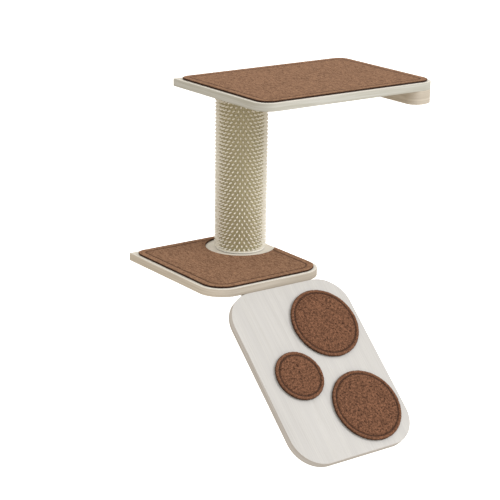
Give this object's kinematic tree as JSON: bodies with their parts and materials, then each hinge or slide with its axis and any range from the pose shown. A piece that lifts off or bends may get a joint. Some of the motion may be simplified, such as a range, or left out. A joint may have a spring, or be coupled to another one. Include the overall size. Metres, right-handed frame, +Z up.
{
  "type": "wall mounted cat tree",
  "caption": "Two wall shelves with carpet mats joined by a bristle post, and a sloping ramp board with round carpet pads below.",
  "frame": {"origin": "middle of the upper shelf's back edge, where it lies on the wall", "axes": "+Z up, +Y into the wall, so the shelves reach out along -Y; +X to the right of someone facing the wall"},
  "size_m": [0.622, 0.6602, 0.7213],
  "materials": {
    "board_laminate": "white-washed wood grain laminate, satin",
    "mat_carpet": "short pile brown carpet, rolled edge, sewn line",
    "pad_carpet": "short pile brown carpet disc, rolled rim, sewn ring",
    "bristle_plastic": "moulded khaki bristle sleeve",
    "cap_plastic": "pale moulded cap",
    "paper_tube": "wound paper tube",
    "insert_brass": "threaded insert",
    "fastener_steel": "zinc plated",
    "bracket_steel": "off-white powder coat"
  },
  "bodies": {
    "root": {"bearer_hanger_plate": "bracket_steel", "bearer_screw_1": "fastener_steel", "bearer_screw_2": "fastener_steel", "bearer_screw_3": "fastener_steel", "bristle_sleeve_1": "bristle_plastic", "bristle_sleeve_2": "bristle_plastic", "bristle_sleeve_3": "bristle_plastic", "end_bearer": "board_laminate", "foot_insert_nut": "insert_brass", "hanger_screw_1": "fastener_steel", "hanger_screw_2": "fastener_steel", "head_insert_nut": "insert_brass", "lower_bracket_screw_1": "fastener_steel", "lower_bracket_screw_2": "fastener_steel", "lower_bracket_screw_3": "fastener_steel", "lower_bracket_screw_4": "fastener_steel", "lower_bracket_screw_5": "fastener_steel", "lower_bracket_screw_6": "fastener_steel", "lower_shelf_board": "board_laminate", "lower_shelf_mat": "mat_carpet", "post_bolt_lower": "fastener_steel", "post_bolt_upper": "fastener_steel", "post_core_tube": "paper_tube", "post_foot_cap": "cap_plastic", "post_head_cap": "cap_plastic", "post_washer_lower": "fastener_steel", "ramp_board": "board_laminate", "ramp_board_screw_1": "fastener_steel", "ramp_board_screw_2": "fastener_steel", "ramp_board_screw_3": "fastener_steel", "ramp_board_screw_4": "fastener_steel", "ramp_pad_lower": "pad_carpet", "ramp_pad_small": "pad_carpet", "ramp_pad_upper": "pad_carpet", "ramp_plate_left": "bracket_steel", "ramp_plate_right": "bracket_steel", "ramp_shelf_screw_1": "fastener_steel", "ramp_shelf_screw_2": "fastener_steel", "ramp_shelf_screw_3": "fastener_steel", "ramp_shelf_screw_4": "fastener_steel", "upper_bracket_screw_1": "fastener_steel", "upper_bracket_screw_2": "fastener_steel", "upper_bracket_screw_3": "fastener_steel", "upper_bracket_screw_4": "fastener_steel", "upper_bracket_screw_5": "fastener_steel", "upper_bracket_screw_6": "fastener_steel", "upper_shelf_board": "board_laminate", "upper_shelf_mat": "mat_carpet", "wall_bracket_lower_left": "bracket_steel", "wall_bracket_lower_right": "bracket_steel", "wall_bracket_upper_left": "bracket_steel", "wall_bracket_upper_right": "bracket_steel"}
  },
  "joints": []
}
